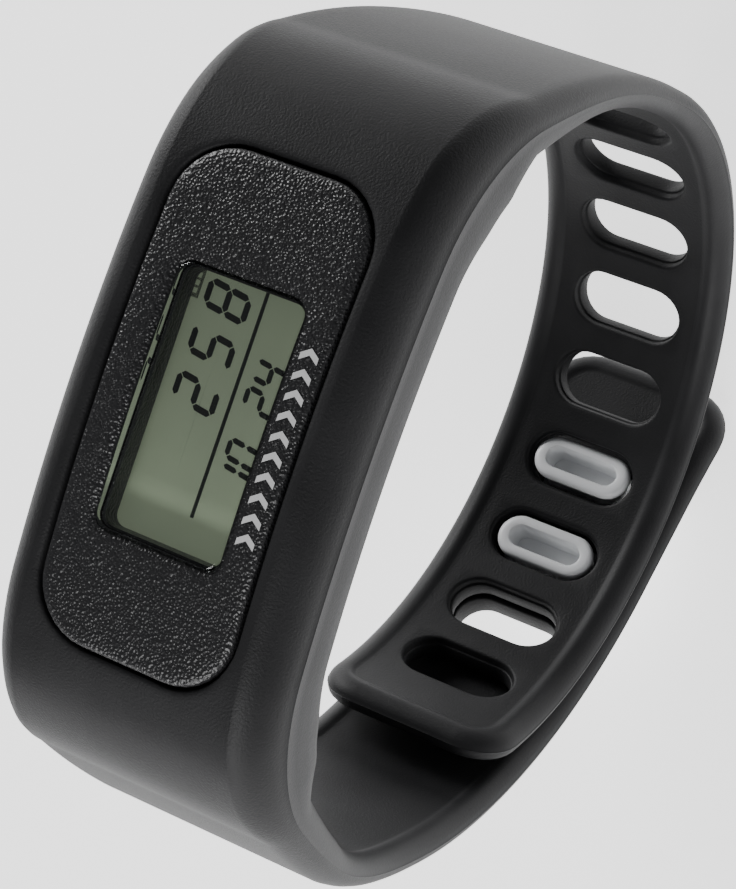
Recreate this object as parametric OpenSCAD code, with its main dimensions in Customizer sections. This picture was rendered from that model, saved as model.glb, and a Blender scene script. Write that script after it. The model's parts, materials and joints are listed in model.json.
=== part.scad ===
// Fitness tracker band: silicone strap with a pocket, a two-peg clasp and a
// removable step-counter module. Millimetres, +Z out of the display, +Y across
// the strap towards the top of the digits, +X towards the strap with the holes.
// The origin is the centre of the wrist opening.

/* [Band] */
// Height of the band's parting line over the wrist centre, at the display
band_top = 35.4; // [34:0.1:38]
// Radius of the band along the display
crown_r = 120; // [90:1:160]
// Half angle of the display stretch
crown_a = 6.85; // [5:0.05:9]
// Radius of the shoulders beside the display
shoulder_r = 14.7; // [13.5:0.1:17]
// Angle turned by each shoulder
shoulder_a = 59.7; // [57:0.1:61]
// Half width of the band at the display
pocket_half_w = 11.85; // [11:0.05:14]
// Height of the surround over the parting line
surround_h = 3.6; // [3:0.1:4.2]
// Depth of the pocket's side wall under the parting line
wall_h = 5; // [4.6:0.1:6]

/* [Straps] */
// Half width of both straps
strap_half_w = 8.95; // [8.4:0.05:10.5]
// Thickness of both straps
strap_t = 2.2; // [1.9:0.1:2.6]
// Side radius of the strap with the holes, before the closed loop
side_r = 73.6; // [65:0.5:80]
// Angle turned by that side
side_a = 24.85; // [22:0.05:27]
// Side radius of the strap with the clasp
clasp_side_r = 93.9; // [80:0.1:105]
// Degrees from where the outer strap meets the inner one to the pegs
lap_lead = 3.44; // [2.5:0.02:6]
// Radius of the closed loop at the strap's parting line
loop_r = 28; // [26.5:0.1:29.5]
// Gap between the two straps where they lie on each other
lap_gap = 0.25; // [0.15:0.05:0.5]
// Distance from one hole to the next
hole_pitch = 7.5; // [7:0.1:8.5]
// Number of holes in the strap
hole_n = 9; // [6:1:9]

/* [Clasp] */
// Length of a peg's head, across the strap
head_l = 9.15; // [8:0.05:10]
// Width of a peg's head, along the strap
head_w = 3.95; // [3.4:0.05:4.2]
// Room between a peg's head and the hole that it passes
peg_gap = 0.42; // [0.38:0.02:0.6]
// Wall of the hollow head
head_wall = 1.05; // [0.8:0.05:1.3]
// Thickness of the clasp's plate
plate_t = 1.3; // [1:0.1:2]

/* [Module] */
// Length of the module
mod_l = 36.04; // [33:0.1:38]
// Width of the module
mod_w = 16; // [15:0.1:18]
// Corner radius of the module
mod_r = 4.6; // [3:0.1:6]
// Length of the window
win_l = 19.24; // [17:0.02:21]
// Width of the window
win_w = 10.26; // [9:0.02:11]
// Gap between the module and its pocket
pocket_gap = 0.2; // [0.15:0.05:0.4]
// Underside of the module, over the wrist centre
mod_base = 31.3; // [31:0.1:31.6]
// Wall of the module's case
case_wall = 1; // [0.8:0.1:1.2]
// Diameter of the coin cell
cell_d = 12.5; // [9.5:0.5:12.5]

/* [Hidden] */
$fn = 96;

function u(a) = [sin(a), cos(a)];
function unit(v) = v / norm(v);
function ease(t) = let (k = min(1, max(0, t))) k * k * (3 - 2 * k);

// The band's parting line: arcs that meet tangentially. A heading of 0 is at the
// display, and grows clockwise round the loop. The clasp side is built mirrored.
a1 = crown_a;
a2 = a1 + shoulder_a;
a3 = a2 + side_a;
c1 = [0, band_top - crown_r];
c2 = c1 + (crown_r - shoulder_r) * u(a1);
c3 = c2 + (shoulder_r - side_r) * u(a2);
c4 = c3 + (side_r - loop_r) * u(a3);
c3c = c2 + (shoulder_r - clasp_side_r) * u(a2);
c4m = [-c4[0], c4[1]];
lap_r = loop_r + strap_t + lap_gap;
// The arc that leads the outer strap in touches its side's arc and the lap's arc.
peg_hole_a = 203;
clasp_a = 360 - peg_hole_a;
a5 = clasp_a - lap_lead;
lap_v = c4m + lap_r * u(a5) - c3c;
wrap_r = (clasp_side_r * clasp_side_r - lap_v * lap_v) / (2 * (clasp_side_r - lap_v * u(a5)));
c5 = c4m + (lap_r - wrap_r) * u(a5);
a3c = atan2(c5[0] - c3c[0], c5[1] - c3c[1]);

carrier_end_c = 103;
half_t = strap_t / 2;

// Holes: headings on the hole strap, counted from the display end
hole_step = hole_pitch / (loop_r - half_t) * 180 / PI;
hole_a0 = peg_hole_a - 6 * hole_step;
function hole_a(i) = hole_a0 + i * hole_step;
strap_end = hole_a(8) + 9.6 / loop_r * 180 / PI;
thru_l = head_l + 2 * peg_gap - 0.2;
thru_w = head_w + 2 * peg_gap;
rec_l = thru_l + 0.35;
rec_w = thru_w + 0.3;
rec_d = 0.7;

// Clasp: its axis stands on the outer strap at the second peg
peg_x = [0, 2 * loop_r * sin(hole_step / 2) * cos(hole_step / 2)];
tip_l = 20.2;
tip_r = 4.6;
hinge_x = -13.4;
hinge_d = sqrt((lap_r + 0.862) * (lap_r + 0.862) - hinge_x * hinge_x);
hinge_a = clasp_a + atan2(hinge_x, hinge_d);
notch = 26;
slot_gap = 0.17;
head_t = 0.9;

// Heights of the module's layers, from the underside up
z_floor = mod_base + 0.8;
z_split = 33.9;
seal_t = 0.2;
z_board = 33.85;
board_t = 0.55;
z_zebra = z_board + board_t;
z_lcd = 35.05;
rear_glass_t = 0.5;
seg_t = 0.04;
front_glass_t = 0.45;
z_seg = z_lcd + rear_glass_t;
z_front = z_seg + seg_t;
z_lcd_top = z_front + front_glass_t;
face_r = crown_r + surround_h;
z_face = band_top + surround_h;
lens_t = 1.2;
ledge = 0.25;
z_lens = z_face - 0.45 - lens_t + 0.4;
case_top = 1.5;

// ---------------------------------------------------------------- helpers
// Revolves a profile (radius, y) about the Y axis through c, between headings
module sweep(c, from, to)
    translate([c[0], 0, c[1]]) rotate([90, 0, 0]) rotate([0, 0, 90 - to])
        rotate_extrude(angle = to - from) children();

// Local frame on an arc: +Z along heading a, +X the way the heading grows
module at(c, a) translate([c[0], 0, c[1]]) rotate([0, a, 0]) children();

module stadium(l, w) {
    square([w, l - w], center = true);
    for (s = [-1, 1]) translate([0, s * (l - w) / 2]) circle(d = w);
}
module slot(l, w, h) linear_extrude(h) stadium(l, w);

module round_rect(l, w, r) {
    square([l - 2 * r, w], center = true);
    square([l, w - 2 * r], center = true);
    for (x = [-1, 1], y = [-1, 1])
        translate([x * (l / 2 - r), y * (w / 2 - r)]) circle(r);
}
module slab(l, w, r, z0, z1)
    translate([0, 0, z0]) linear_extrude(z1 - z0) round_rect(l, w, r);

// Edge of the strap's section, from the inner flat to the outer flat: each point
// is [distance outwards from the parting line, distance in from the side]
strap_edge = [[-half_t, 2.4], [-half_t - 0.22, 1.9], [-half_t - 0.18, 1.2],
              [-half_t + 0.2, 0.5], [-half_t + 0.65, 0.12], [0, 0],
              [half_t - 0.55, 0.15], [half_t - 0.15, 0.55], [half_t, 1.2]];
// The same edge where the band surrounds the display
crown_edge = [[-wall_h, 3], [-wall_h, 2.2], [-wall_h + 0.15, 1.2], [-wall_h + 0.6, 0.4],
              [-wall_h + 1.6, 0.04], [0, 0], [0.45 * surround_h, 0.45],
              [0.8 * surround_h, 1.35], [surround_h, 2.7]];
function both_sides(edge) = concat(edge, [for (i = [len(edge) - 1:-1:0])
    [edge[i][0], -edge[i][1]]]);
function side_y(edge, w) = [for (p = edge) [p[0], w - p[1]]];
module strap_section(r, w) translate([r, 0]) polygon(both_sides(side_y(strap_edge, w)));

// A skin through stations [x, z, heading, edge points]: the band's curved lengths
function ring(s) = [for (p = both_sides(s[3]))
    [s[0] + p[0] * sin(s[2]), p[1], s[1] + p[0] * cos(s[2])]];
module skin(stations) {
    n = 2 * len(strap_edge);
    m = len(stations);
    polyhedron(points = [for (s = stations) each ring(s)], convexity = 8,
        faces = concat([[for (i = [0:n - 1]) i]],
            [[for (i = [n - 1:-1:0]) (m - 1) * n + i]],
            [for (j = [0:m - 2], i = [0:n - 1], t = [0, 1]) let (k = (i + 1) % n)
                t == 0 ? [j * n + i, (j + 1) * n + i, (j + 1) * n + k]
                       : [j * n + i, (j + 1) * n + k, j * n + k]]));
}

// ---------------------------------------------------------------- band
function part_hole(a) = a <= a1 ? c1 + crown_r * u(a)
    : a <= a2 ? c2 + shoulder_r * u(a) : c3 + side_r * u(a);
function part_clasp(a) = a <= a1 ? c1 + crown_r * u(a)
    : a <= a2 ? c2 + shoulder_r * u(a)
    : a <= a3c ? c3c + clasp_side_r * u(a) : c5 + wrap_r * u(a);
// Shares of the display's section in the strap's, on the outside and the inside
function outer_share(a) = lookup(a, [[0, 1], [30, 0.97], [50, 0.66], [66, 0.3], [80, 0.06],
                                     [88, 0]]);
function inner_share(a) = lookup(a, [[0, 1], [19, 1.15], [31, 1.22], [50, 1], [66, 0.43],
                                     [76, 0.07], [86, 0]]);
// Half width by height: the pocket part flares down to the straps
flare_top = 30;
flare_low = -5.2;
function flare(z) = strap_half_w + (pocket_half_w - strap_half_w)
    * ease((z - flare_low) / (flare_top - flare_low));
function carrier_edge(a, w) = [for (i = [0:len(strap_edge) - 1])
    let (k = i < 5 ? inner_share(a) : outer_share(a), d = strap_edge[i] + (crown_edge[i]
        - strap_edge[i]) * [[k, 0], [0, min(1, k)]]) [d[0], w - d[1]]];
function carrier_station(p, a, side) =
    [side * p[0], p[1], side * a, carrier_edge(a, flare(p[1]))];
hole_stops = concat([for (i = [0:4]) a1 * i / 4], [for (i = [1:20]) a1 + shoulder_a * i / 20],
                    [for (i = [1:9]) a2 + side_a * i / 9]);
clasp_stops = concat([for (i = [0:4]) a1 * i / 4], [for (i = [1:20]) a1 + shoulder_a * i / 20],
    [for (i = [1:3]) a2 + (a3c - a2) * i / 3],
    [for (i = [1:12]) a3c + (carrier_end_c - a3c) * i / 12]);

key_x = 6;
key_z = 35.3;
module band_carrier() color("#26272a") difference() {
    skin(concat([for (i = [len(clasp_stops) - 1:-1:1]) let (a = clasp_stops[i])
            carrier_station(part_clasp(a), a, -1)],
        [for (a = hole_stops) carrier_station(part_hole(a), a, 1)]));
    slab(mod_l + 2 * pocket_gap, mod_w + 2 * pocket_gap, mod_r + pocket_gap,
         mod_base - 0.05, z_face + 5);
    // access to the battery door through the pocket's floor
    translate([door_x, 0, 20]) cylinder(d = door_d + 0.6, h = 20);
    // seat of the button pad in the far wall
    translate([key_x, 4, key_z]) rotate([-90, 0, 0]) cylinder(d = pad_d + 0.3, h = 12);
}

module hole_cut(a) {
    at(c4, a) translate([0, 0, loop_r - 3]) slot(thru_l, thru_w, 6);
    at(c4, a) translate([0, 0, loop_r - half_t - 3]) slot(rec_l, rec_w, 3 + rec_d);
}
// The two holes that hold the pegs follow the pegs' direction
module peg_hole_cut(i) mirror([1, 0, 0]) at(c4m, clasp_a) translate([peg_x[i], 0, 0]) {
    translate([0, 0, loop_r - 4]) slot(thru_l, thru_w, 7);
    translate([0, 0, loop_r - half_t - 4]) slot(rec_l, rec_w, 4 + rec_d - 0.55 * i);
}
// Rounds the two corners of a strap's end: +X points out of the end
module end_corners(r, w) for (s = [-1, 1]) translate([-r, s * (w - r), -6])
    difference() {
        translate([0, s > 0 ? 0 : -r - 1, 0]) cube([r + 1, r + 1, 12]);
        translate([0, 0, -1]) cylinder(r = r, h = 14);
    }
module hole_strap() color("#222326") difference() {
    sweep(c4, a3, strap_end) strap_section(loop_r, strap_half_w);
    at(c4, strap_end) translate([0, 0, loop_r]) end_corners(4, strap_half_w);
    for (i = [0:hole_n - 1]) if (i != 5 && i != 6) hole_cut(hole_a(i));
    for (i = [0, 1]) peg_hole_cut(i);
}

// Everything of the outer strap is built in the mirrored frame
module clasp_strap() color("#222326") mirror([1, 0, 0]) difference() {
    sweep(c5, carrier_end_c, hinge_a5 + 2) strap_section(wrap_r, strap_half_w);
    hinge_relief(1);
}
// Removes one side of the flexing place, and a V that closes as the strap peels
module hinge_relief(side)
    at(c4m, hinge_a) translate([0, 12, norm([hinge_x, hinge_d])]) rotate([90, 0, 0])
        linear_extrude(24) scale([side, 1]) polygon([[-0.06, -0.1],
            [-7 * sin(notch), 7 * cos(notch)], [12, 7], [12, -7], [-0.06, -7]]);

module tip_slots() {
    for (x = peg_x) at(c4m, clasp_a) translate([x, 0, lap_r - 5])
        slot(head_l + 2 * slot_gap, head_w + 2 * slot_gap, 10);
    at(c4m, 360 - hole_a(7)) translate([0, 0, lap_r - 3]) slot(thru_l, thru_w, 8);
    // a blind print near the tip
    at(c4m, clasp_a) translate([peg_x[1] + hole_pitch - 0.6, 0, lap_r - half_t - 1])
        slot(thru_l - 0.6, thru_w - 0.5, 1.5);
}
// Outer strap's course beyond its first arc, by length from the clasp's axis
tip_flat = 9;
tip_curl_r = 60;
function lap_station(p, a, w = strap_half_w) = [p[0], p[1], a, side_y(strap_edge, w)];
function tip_half_w(s) = let (d = max(0, s - tip_l + tip_r))
    strap_half_w - tip_r + sqrt(max(0, tip_r * tip_r - d * d));
function tip_course(s) = let (p = c4m + lap_r * u(clasp_a), t = [u(clasp_a)[1], -u(clasp_a)[0]],
    b = max(0, s - tip_flat) / tip_curl_r * 180 / PI, e = [t, u(clasp_a)])
    [p + (min(s, tip_flat) + tip_curl_r * sin(b)) * t
     + tip_curl_r * (1 - cos(b)) * u(clasp_a), clasp_a - b];
hinge_p = c4m + norm([hinge_x, hinge_d]) * u(hinge_a) - c5;
hinge_a5 = atan2(hinge_p[0], hinge_p[1]);
module clasp_strap_tip() color("#222326") mirror([1, 0, 0]) difference() {
    skin(concat([for (i = [0:8]) let (a = hinge_a5 - 2 + (a5 - hinge_a5 + 2) * i / 8)
            lap_station(c5 + wrap_r * u(a), a)],
        [for (i = [1:2]) let (a = a5 + (clasp_a - a5) * i / 2)
            lap_station(c4m + lap_r * u(a), a)],
        [for (s = concat([for (i = [0:3]) tip_flat + (tip_l - tip_r - tip_flat) * i / 3],
                         [for (i = [1:8]) tip_l - tip_r + tip_r * sin(i * 90 / 8)]))
            lap_station(tip_course(s)[0], tip_course(s)[1], tip_half_w(s))]));
    hinge_relief(-1);
    tip_slots();
}

module clasp() color("#b9bcbe") mirror([1, 0, 0]) at(c4m, clasp_a) {
    plate_z = lap_r + half_t + 0.06;
    translate([peg_x[1] / 2, 0, plate_z]) linear_extrude(plate_t)
        round_rect(peg_x[1] + head_w + 2.6, head_l + 3.4, 2.2);
    for (i = [0, 1]) translate([peg_x[i], 0, 0]) difference() {
        head_z = loop_r - half_t + 0.1 - i * (loop_r - half_t) * (1 - cos(hole_step));
        union() {
            translate([0, 0, head_z]) slot(head_l, head_w, head_t);
            translate([0, 0, head_z]) slot(head_l - 0.8, head_w - 0.8, plate_z - head_z + 0.3);
        }
        translate([0, 0, head_z - 1])
            slot(head_l - 2 * head_wall - 0.6, head_w - 2 * head_wall - 0.1, 4.2);
    }
}

pad_d = 3.4;
pad_face = 0.45; // how far the pad's face lies inside the wall's widest line
module button_pad() color("#1f2022") translate([key_x, 0, key_z]) rotate([-90, 0, 0]) {
    translate([0, 0, mod_w / 2 + pocket_gap + 1.2])
        cylinder(d = pad_d - 0.1, h = pocket_half_w - mod_w / 2 - pocket_gap - 1.2 - pad_face);
    translate([0, 0, mod_w / 2 + 0.12])
        cylinder(d = 1.5, h = pocket_gap + 1.5);
}

// ---------------------------------------------------------------- module case
door_x = -8.4;
door_d = 14.4;
cell_t = 1.6;
z_cell_top = z_floor + 0.05 + cell_t;
screw_at = [[15, 4.6], [15, -4.6], [-15.6, 4.6], [-15.6, -4.6]];
in_l = mod_l - 2 * case_wall;
in_w = mod_w - 2 * case_wall;
in_r = mod_r - case_wall;
view_l = win_l - 2 * ledge;
view_w = win_w - 2 * ledge;

module face_cut(r) translate([0, 0, c1[1]]) rotate([90, 0, 0]) cylinder(r = r, h = 60,
    center = true, $fn = 360);

module front_case() color("#17181a") difference() {
    intersection() {
        slab(mod_l, mod_w, mod_r, z_split + seal_t, z_face + 1);
        face_cut(face_r);
    }
    difference() {
        slab(in_l, in_w, in_r, z_split - 1, z_face - case_top);
        slab(win_l + 1.8, win_w + 1.8, 1.4, z_lcd_top + 0.05, z_face);
        for (p = screw_at) translate([p[0], p[1], z_board + board_t + 0.05])
            cylinder(d = 2.6, h = 10);
    }
    slab(win_l, win_w, 1.1, z_lens, z_face + 2);
    slab(view_l, view_w, 0.9, z_lcd_top - 0.5, z_face + 2);
    for (p = screw_at) translate([p[0], p[1], z_board]) cylinder(d = 1.1, h = 3);
    translate([key_x, mod_w / 2 - 2.5, key_z]) rotate([-90, 0, 0])
        cylinder(d = key_d + 0.1, h = 4);
}
module window_lens() color([0.86, 0.9, 0.9, 0.35]) intersection() {
    slab(win_l - 0.06, win_w - 0.06, 1.07, z_lens + 0.02, z_face + 1);
    face_cut(face_r + 0.1);
}
// White printed chevrons beside the window
module printed_mark() color("white") for (i = [0:9])
    translate([-6.6 + 1.46 * i, -6.65, z_face + 0.01 - pow(-6.6 + 1.46 * i, 2) / 2 / face_r])
        linear_extrude(0.03) polygon([[-0.55, -0.72], [-0.05, -0.72], [0.45, 0],
                                      [-0.05, 0.72], [-0.55, 0.72], [-0.05, 0]]);

// ---------------------------------------------------------------- display
module lcd_glass() color([0.75, 0.8, 0.74, 0.4])
    slab(win_l + 1.4, win_w + 1, 0.3, z_front, z_lcd_top);
module lcd_reflector() color("#8f9a86")
    slab(win_l + 1.4, win_w + 0.8, 0.3, z_lcd, z_seg);

// One seven-segment digit: "on" lists the lit segments a to g as 1 or 0
lean = 0.135;
function seg_bar(p, q, t) = let (d = unit(q - p), n = [-d[1], d[0]] * t / 2, g = 0.06)
    [p + d * g, p + d * (t / 2 + g) + n, q - d * (t / 2 + g) + n, q - d * g,
     q - d * (t / 2 + g) - n, p + d * (t / 2 + g) - n];
function slanted(p) = [p[0] + lean * p[1], p[1]];
module digit(on, w, h, t) {
    x0 = t / 2; x1 = w - t / 2; y0 = t / 2; y1 = h / 2; y2 = h - t / 2;
    ends = [[[x0, y2], [x1, y2]], [[x1, y1], [x1, y2]], [[x1, y0], [x1, y1]],
            [[x0, y0], [x1, y0]], [[x0, y0], [x0, y1]], [[x0, y1], [x0, y2]],
            [[x0, y1], [x1, y1]]];
    for (i = [0:6]) if (on[i] == 1)
        polygon([for (p = seg_bar(ends[i][0], ends[i][1], t)) slanted(p)]);
}
num = [[1,1,1,1,1,1,0], [0,1,1,0,0,0,0], [1,1,0,1,1,0,1], [1,1,1,1,0,0,1],
       [0,1,1,0,0,1,1], [1,0,1,1,0,1,1], [1,0,1,1,1,1,1], [1,1,1,0,0,0,0],
       [1,1,1,1,1,1,1], [1,1,1,1,0,1,1]];
big_h = 3.7; big_w = 2.12; big_t = 0.46;
small_h = 2.85; small_w = 1.62; small_t = 0.38;
module lcd_segments() color("#1c2320") translate([0, 0, z_seg]) linear_extrude(seg_t) {
    for (i = [0:2]) translate([-0.3 + 3.36 * i, 0.48]) digit(num[[2, 5, 8][i]],
        big_w, big_h, big_t);
    translate([-7.05, -0.6]) square([16.3, 0.27]);
    for (i = [0:3]) translate([[-4.6, -2.75, 1.0, 2.95][i], -4.1])
        digit(num[[1, 0, 2, 4][i]], small_w, small_h, small_t);
    // marker at the top right: a framed bar
    translate([7.2, 4.62]) difference() {
        square([2.1, 0.82]);
        for (i = [0:2]) translate([0.3 + 0.55 * i, 0.2]) square([0.38, 0.42]);
    }
}
module lcd_frame() color("#d8d8d4") difference() {
    slab(win_l + 3, in_w - 0.2, 0.6, z_zebra, z_lcd_top);
    slab(win_l + 1.5, win_w + 1.1, 0.3, z_lcd - 0.02, z_lcd_top + 1);
    slab(win_l - 1, win_w - 3.4, 0.5, z_zebra - 1, z_lcd + 1);
    for (s = [-1, 1]) translate([0, s * zebra_y, z_zebra - 1])
        linear_extrude(3) square([win_l + 0.2, 1.3], center = true);
    for (p = screw_at) translate([p[0], p[1], z_zebra - 1]) cylinder(d = 3, h = 5);
    translate([key_x, switch_y + 1, z_zebra]) cube([switch_l + 0.3, 2.6, 6], center = true);
}
zebra_y = win_w / 2 - 0.2;
module zebra(s) color("#c46a8a") translate([0, s * zebra_y, z_zebra])
    linear_extrude(z_lcd - z_zebra) square([win_l, 1.1], center = true);
module zebra_strip_near() zebra(-1);
module zebra_strip_far() zebra(1);

// ---------------------------------------------------------------- electronics
module circuit_board() color("#1f5a3c") difference() {
    slab(in_l - 0.3, in_w - 0.3, in_r - 0.2, z_board, z_board + board_t);
    for (p = screw_at) translate([p[0], p[1], z_board - 1]) cylinder(d = 1.5, h = 3);
}
module under_board(x, y, l, w, h) translate([x, y, z_board - h / 2])
    cube([l, w, h], center = true);
module controller_blob() color("#0d0d0e") translate([3.6, -2.4, z_board])
    intersection() {
        translate([0, 0, 2.3]) sphere(r = 3.4);
        translate([0, 0, -5]) cylinder(r = 4, h = 5);
    }
module step_sensor() color("#222226") under_board(8.6, 2.6, 3, 3, 0.95);
module quartz_crystal() color("#c9cbcd") translate([10.6, -1.6, z_board - 0.75])
    rotate([90, 0, 0]) cylinder(d = 1.5, h = 4.4);
module smd_parts() color("#b49a70") for (p = [[3.2, 3.4], [5.2, 3.4], [3.2, 5.2], [5.2, 5.2],
        [8.4, -1], [8.4, -2.6], [8.4, -4.2], [12.8, 0.4]])
    under_board(p[0], p[1], 1.2, 0.7, 0.5);
key_d = 1.8;
// The switch stands between the display's glass and the key
key_travel = 0.5;
key_in = mod_w / 2 - case_wall - 0.1;
switch_l = 3.4;
switch_t = 0.5;
switch_y = key_in - key_travel - 0.05 - switch_t / 2;
module mode_switch() color("#9a9c9e") translate([key_x, switch_y, z_zebra + 0.75])
    cube([switch_l, switch_t, 1.5], center = true);
module mode_key() color("#3a3c40") translate([key_x, 0, key_z]) rotate([-90, 0, 0]) {
    translate([0, 0, key_in]) cylinder(d = key_d, h = mod_w / 2 - key_in);
}
module coin_cell() color("#c7c9cb") translate([door_x, 0, z_floor + 0.05]) {
    cylinder(d = cell_d - 1.6, h = 0.2);
    translate([0, 0, 0.2]) cylinder(d = cell_d, h = cell_t - 0.2);
}
module positive_contact() color("#d8c27a") {
    translate([door_x - 2, -1.5, z_cell_top]) cube([4, 3, z_board - z_cell_top]);
}
module negative_contact() color("#d8c27a")
    translate([door_x + cell_d / 2 + 0.2, -1.4, z_floor + 0.1]) cube([0.2, 2.8,
        z_board - z_floor - 0.1]);

// ---------------------------------------------------------------- back
module case_gasket() color("#4a4c50") difference() {
    slab(mod_l - 0.5, mod_w - 0.5, mod_r - 0.25, z_split, z_split + seal_t);
    slab(in_l + 0.4, in_w + 0.4, in_r + 0.2, z_split - 1, z_split + 1);
}
module rear_case() color("#17181a") difference() {
    union() {
        difference() {
            slab(mod_l, mod_w, mod_r, mod_base, z_split);
            slab(in_l, in_w, in_r, z_floor, z_split + 1);
        }
        for (p = screw_at) translate([p[0], p[1], mod_base])
            cylinder(d = 2.6, h = z_board - mod_base - 0.05);
        translate([door_x, 0, mod_base]) cylinder(d = door_d + 1.2, h = z_floor - mod_base);
    }
    translate([door_x, 0, mod_base - 1]) cylinder(d = door_d - 1, h = 4);
    translate([door_x, 0, mod_base - 1]) cylinder(d = door_d, h = 1.45);
    for (p = screw_at) translate([p[0], p[1], mod_base - 1]) {
        cylinder(d = 1.3, h = 5);
        cylinder(d = 2.1, h = 1.55);
    }
}
module case_screws() color("#8e9194") for (p = screw_at)
    translate([p[0], p[1], mod_base + 0.1]) difference() {
        union() {
            cylinder(d = 1.9, h = 0.45);
            cylinder(d = 1.1, h = 4.2);
        }
        for (a = [0, 90]) rotate([0, 0, a]) translate([-0.6, -0.12, -0.1])
            cube([1.2, 0.24, 0.3]);
    }
module door_seal() color("#3c3e42") translate([door_x, 0, mod_base + 0.58])
    rotate_extrude() translate([door_d / 2 - 0.95, 0]) circle(d = 0.34);
module battery_door() color("#2a2c2f") translate([door_x, 0, mod_base]) difference() {
    union() {
        translate([0, 0, 0.02]) cylinder(d = door_d - 0.1, h = 0.38);
        cylinder(d = door_d - 2.3, h = 0.78);
    }
    translate([-4.5, -0.55, -1]) cube([9, 1.1, 1.3]);
}

band_carrier();
hole_strap();
clasp_strap();
clasp_strap_tip();
clasp();
button_pad();
front_case();
window_lens();
printed_mark();
lcd_glass();
lcd_segments();
lcd_reflector();
lcd_frame();
zebra_strip_near();
zebra_strip_far();
circuit_board();
controller_blob();
step_sensor();
quartz_crystal();
smd_parts();
mode_switch();
mode_key();
coin_cell();
positive_contact();
negative_contact();
case_gasket();
rear_case();
case_screws();
door_seal();
battery_door();
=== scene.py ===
# %% [markdown]
# # A silicone fitness band
# The CAD model gives the true sizes and the places of the parts, and this
# notebook gives them the look of the real thing. It builds a softer, rounder
# skin over the band, the display's face plate and the clasp, and then paints
# every piece with node materials.

# %% Load the model that everything is fitted to
import bpy, bmesh, json, math
import numpy as np
from mathutils import Matrix, Vector

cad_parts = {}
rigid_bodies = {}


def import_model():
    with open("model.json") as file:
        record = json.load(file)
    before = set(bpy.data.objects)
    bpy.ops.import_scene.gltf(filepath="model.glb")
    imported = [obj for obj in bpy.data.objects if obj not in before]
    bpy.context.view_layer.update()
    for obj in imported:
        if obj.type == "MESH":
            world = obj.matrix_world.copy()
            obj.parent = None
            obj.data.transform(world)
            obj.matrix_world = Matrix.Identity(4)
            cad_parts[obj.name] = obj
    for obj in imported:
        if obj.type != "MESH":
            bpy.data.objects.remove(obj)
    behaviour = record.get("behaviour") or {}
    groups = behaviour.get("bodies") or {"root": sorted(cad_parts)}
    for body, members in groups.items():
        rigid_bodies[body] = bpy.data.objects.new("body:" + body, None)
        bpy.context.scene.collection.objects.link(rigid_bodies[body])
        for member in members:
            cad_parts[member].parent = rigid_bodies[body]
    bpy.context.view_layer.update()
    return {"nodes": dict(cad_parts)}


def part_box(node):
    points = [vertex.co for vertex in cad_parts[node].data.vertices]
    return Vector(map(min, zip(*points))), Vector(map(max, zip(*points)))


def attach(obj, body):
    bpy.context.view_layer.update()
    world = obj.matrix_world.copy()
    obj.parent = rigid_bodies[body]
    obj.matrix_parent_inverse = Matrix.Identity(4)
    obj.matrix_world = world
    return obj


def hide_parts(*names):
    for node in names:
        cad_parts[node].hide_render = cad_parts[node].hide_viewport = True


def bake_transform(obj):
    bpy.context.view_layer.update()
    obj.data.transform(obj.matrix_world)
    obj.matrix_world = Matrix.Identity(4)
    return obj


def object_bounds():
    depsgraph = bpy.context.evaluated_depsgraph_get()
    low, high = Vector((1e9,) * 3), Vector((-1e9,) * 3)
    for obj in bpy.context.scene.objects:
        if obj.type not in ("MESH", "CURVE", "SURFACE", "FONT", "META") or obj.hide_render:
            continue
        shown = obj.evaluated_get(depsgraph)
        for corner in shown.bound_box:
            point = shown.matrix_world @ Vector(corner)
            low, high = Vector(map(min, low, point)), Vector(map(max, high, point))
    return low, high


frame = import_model()
MM = 0.001
for o in list(bpy.data.objects):
    if o.type in {"CAMERA", "LIGHT"}:
        bpy.data.objects.remove(o)

# %% [markdown]
# ## The course of the band
# A moulded band is drawn as arcs that meet without a kink, so its course is
# worked out from arc radii and turned angles, as the CAD does. Everything on
# the band is then placed by three numbers: the length along the course, how far
# outwards, and how far across. One function turns these into a point.

# %% The arcs of the band's parting line, in millimetres
BAND_TOP, CROWN_R, CROWN_A = 35.4, 120.0, 6.85
SHOULDER_R, SHOULDER_A = 14.7, 59.7
SIDE_R, SIDE_A = 73.6, 24.85
CLASP_SIDE_R, LAP_LEAD = 93.9, 3.44
LOOP_R, STRAP_T, LAP_GAP = 28.0, 2.2, 0.25
HALF_W, POCKET_HALF_W = 8.95, 11.85
CLASP_A, HOLE_PITCH = 157.0, 7.5


def heading(a):
    a = math.radians(a)
    return np.array([math.sin(a), math.cos(a)])


def arc(centre, radius, a0, a1, step=0.35):
    """Points (x, z, heading) along an arc, a0 left out."""
    n = max(2, int(abs(math.radians(a1 - a0)) * radius / step))
    a = np.linspace(a0, a1, n + 1)[1:]
    r = np.radians(a)
    return np.c_[centre[0] + radius * np.sin(r), centre[1] + radius * np.cos(r), a]


A1, A2 = CROWN_A, CROWN_A + SHOULDER_A
A3, A5 = A2 + SIDE_A, CLASP_A - LAP_LEAD
C1 = np.array([0, BAND_TOP - CROWN_R])
C2 = C1 + (CROWN_R - SHOULDER_R) * heading(A1)
C3 = C2 + (SHOULDER_R - SIDE_R) * heading(A2)
C4 = C3 + (SIDE_R - LOOP_R) * heading(A3)
C4M = C4 * [-1, 1]
C3C = C2 + (SHOULDER_R - CLASP_SIDE_R) * heading(A2)
LAP_R = LOOP_R + STRAP_T + LAP_GAP
lap = C4M + LAP_R * heading(A5) - C3C
WRAP_R = (CLASP_SIDE_R**2 - lap @ lap) / (2 * (CLASP_SIDE_R - lap @ heading(A5)))
C5 = C4M + (LAP_R - WRAP_R) * heading(A5)
A3C = math.degrees(math.atan2(C5[0] - C3C[0], C5[1] - C3C[1]))
print("outer strap radius", round(WRAP_R, 2), "from heading", round(A3C, 1))


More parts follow.
